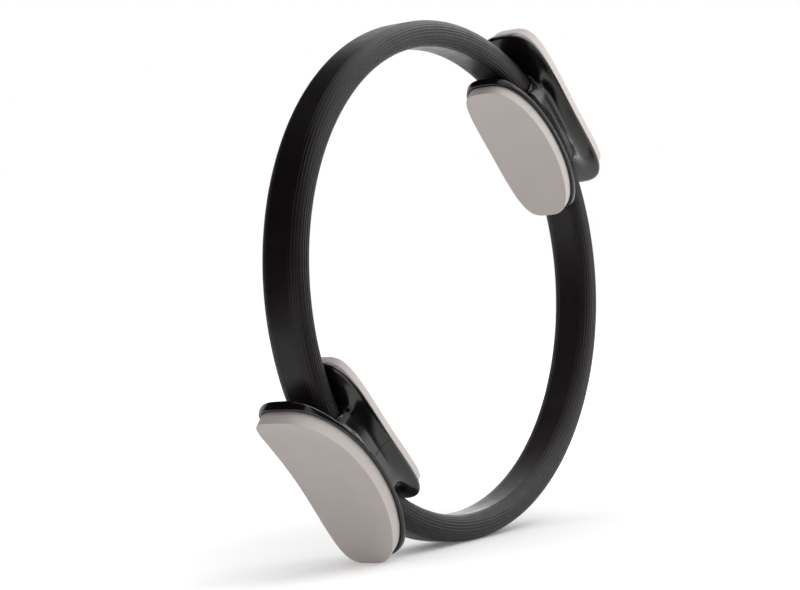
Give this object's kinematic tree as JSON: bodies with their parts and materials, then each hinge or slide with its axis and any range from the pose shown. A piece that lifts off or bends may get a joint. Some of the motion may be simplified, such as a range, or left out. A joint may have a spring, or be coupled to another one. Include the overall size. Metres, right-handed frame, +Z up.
{
  "type": "pilates ring",
  "caption": "Springy exercise hoop in a ribbed rubber sleeve, with opposed clamp-on handles that carry hollowed grip pads inside and out and are squeezed together.",
  "frame": {"origin": "on the floor, straight below the ring's axis, as the ring stands on its band and the end of its lower outer pad", "axes": "+Z up from the floor, +Y along the ring's axis, +X from the lower handle's side to the upper handle's side"},
  "size_m": [0.4096, 0.0728, 0.3794],
  "materials": {
    "sleeve_rubber": "matte ribbed rubber",
    "core_fibreglass": "pultruded fibreglass",
    "shell_plastic": "moulded satin gloss",
    "pad_foam": "soft matte moulded foam rubber",
    "screw_steel": "zinc plated",
    "insert_brass": "turned"
  },
  "bodies": {
    "bottom_arc": {"sleeve_bottom": "sleeve_rubber", "core_bottom": "core_fibreglass"},
    "right_arc": {"sleeve_right": "sleeve_rubber", "core_right": "core_fibreglass"},
    "left_arc": {"sleeve_left": "sleeve_rubber", "core_left": "core_fibreglass"},
    "top_arc": {"sleeve_top": "sleeve_rubber", "core_top": "core_fibreglass"},
    "lower_handle": {"lower_outer_shell": "shell_plastic", "lower_inner_shell": "shell_plastic", "lower_outer_pad": "pad_foam", "lower_inner_pad": "pad_foam", "lower_clamped_core": "core_fibreglass", "lower_clamp_screws": "screw_steel", "lower_screw_inserts": "insert_brass"},
    "upper_handle": {"upper_outer_shell": "shell_plastic", "upper_inner_shell": "shell_plastic", "upper_outer_pad": "pad_foam", "upper_inner_pad": "pad_foam", "upper_clamped_core": "core_fibreglass", "upper_clamp_screws": "screw_steel", "upper_screw_inserts": "insert_brass"}
  },
  "joints": [
    {"name": "lower_flex", "type": "hinge", "parent": "bottom_arc", "child": "lower_handle", "pos_m": [-0.10979, 0, 0.04706], "axis": [0, -1, 0], "range_deg": [0, 12], "stiffness_Nm_per_rad": 12, "deforming": ["sleeve_bottom", "core_bottom"]},
    {"name": "right_flex", "type": "hinge", "parent": "bottom_arc", "child": "right_arc", "pos_m": [0.11723, 0, 0.05311], "axis": [0, -1, 0], "range_deg": [0, 24], "stiffness_Nm_per_rad": 12, "deforming": ["sleeve_bottom", "core_bottom", "sleeve_right", "core_right"]},
    {"name": "upper_flex", "type": "hinge", "parent": "right_arc", "child": "upper_handle", "pos_m": [0.15765, 0, 0.27658], "axis": [0, 1, 0], "range_deg": [0, 12], "stiffness_Nm_per_rad": 12, "deforming": ["sleeve_right", "core_right", "sleeve_top", "core_top"]},
    {"name": "left_lower_flex", "type": "hinge", "parent": "lower_handle", "child": "left_arc", "pos_m": [-0.15765, 0, 0.10282], "axis": [0, -1, 0], "range_deg": [0, 12], "stiffness_Nm_per_rad": 12, "deforming": ["sleeve_left", "core_left"]},
    {"name": "left_flex", "type": "hinge", "parent": "left_arc", "child": "top_arc", "pos_m": [-0.11723, 0, 0.32629], "axis": [0, 1, 0], "range_deg": [0, 24], "stiffness_Nm_per_rad": 12, "deforming": ["sleeve_left", "core_left", "sleeve_top", "core_top"]}
  ],
  "couplings": [
    {"joint": "right_flex", "follows": "lower_flex", "ratio": 2},
    {"joint": "upper_flex", "follows": "lower_flex", "ratio": 1},
    {"joint": "left_lower_flex", "follows": "lower_flex", "ratio": 1},
    {"joint": "left_flex", "follows": "lower_flex", "ratio": 2}
  ]
}
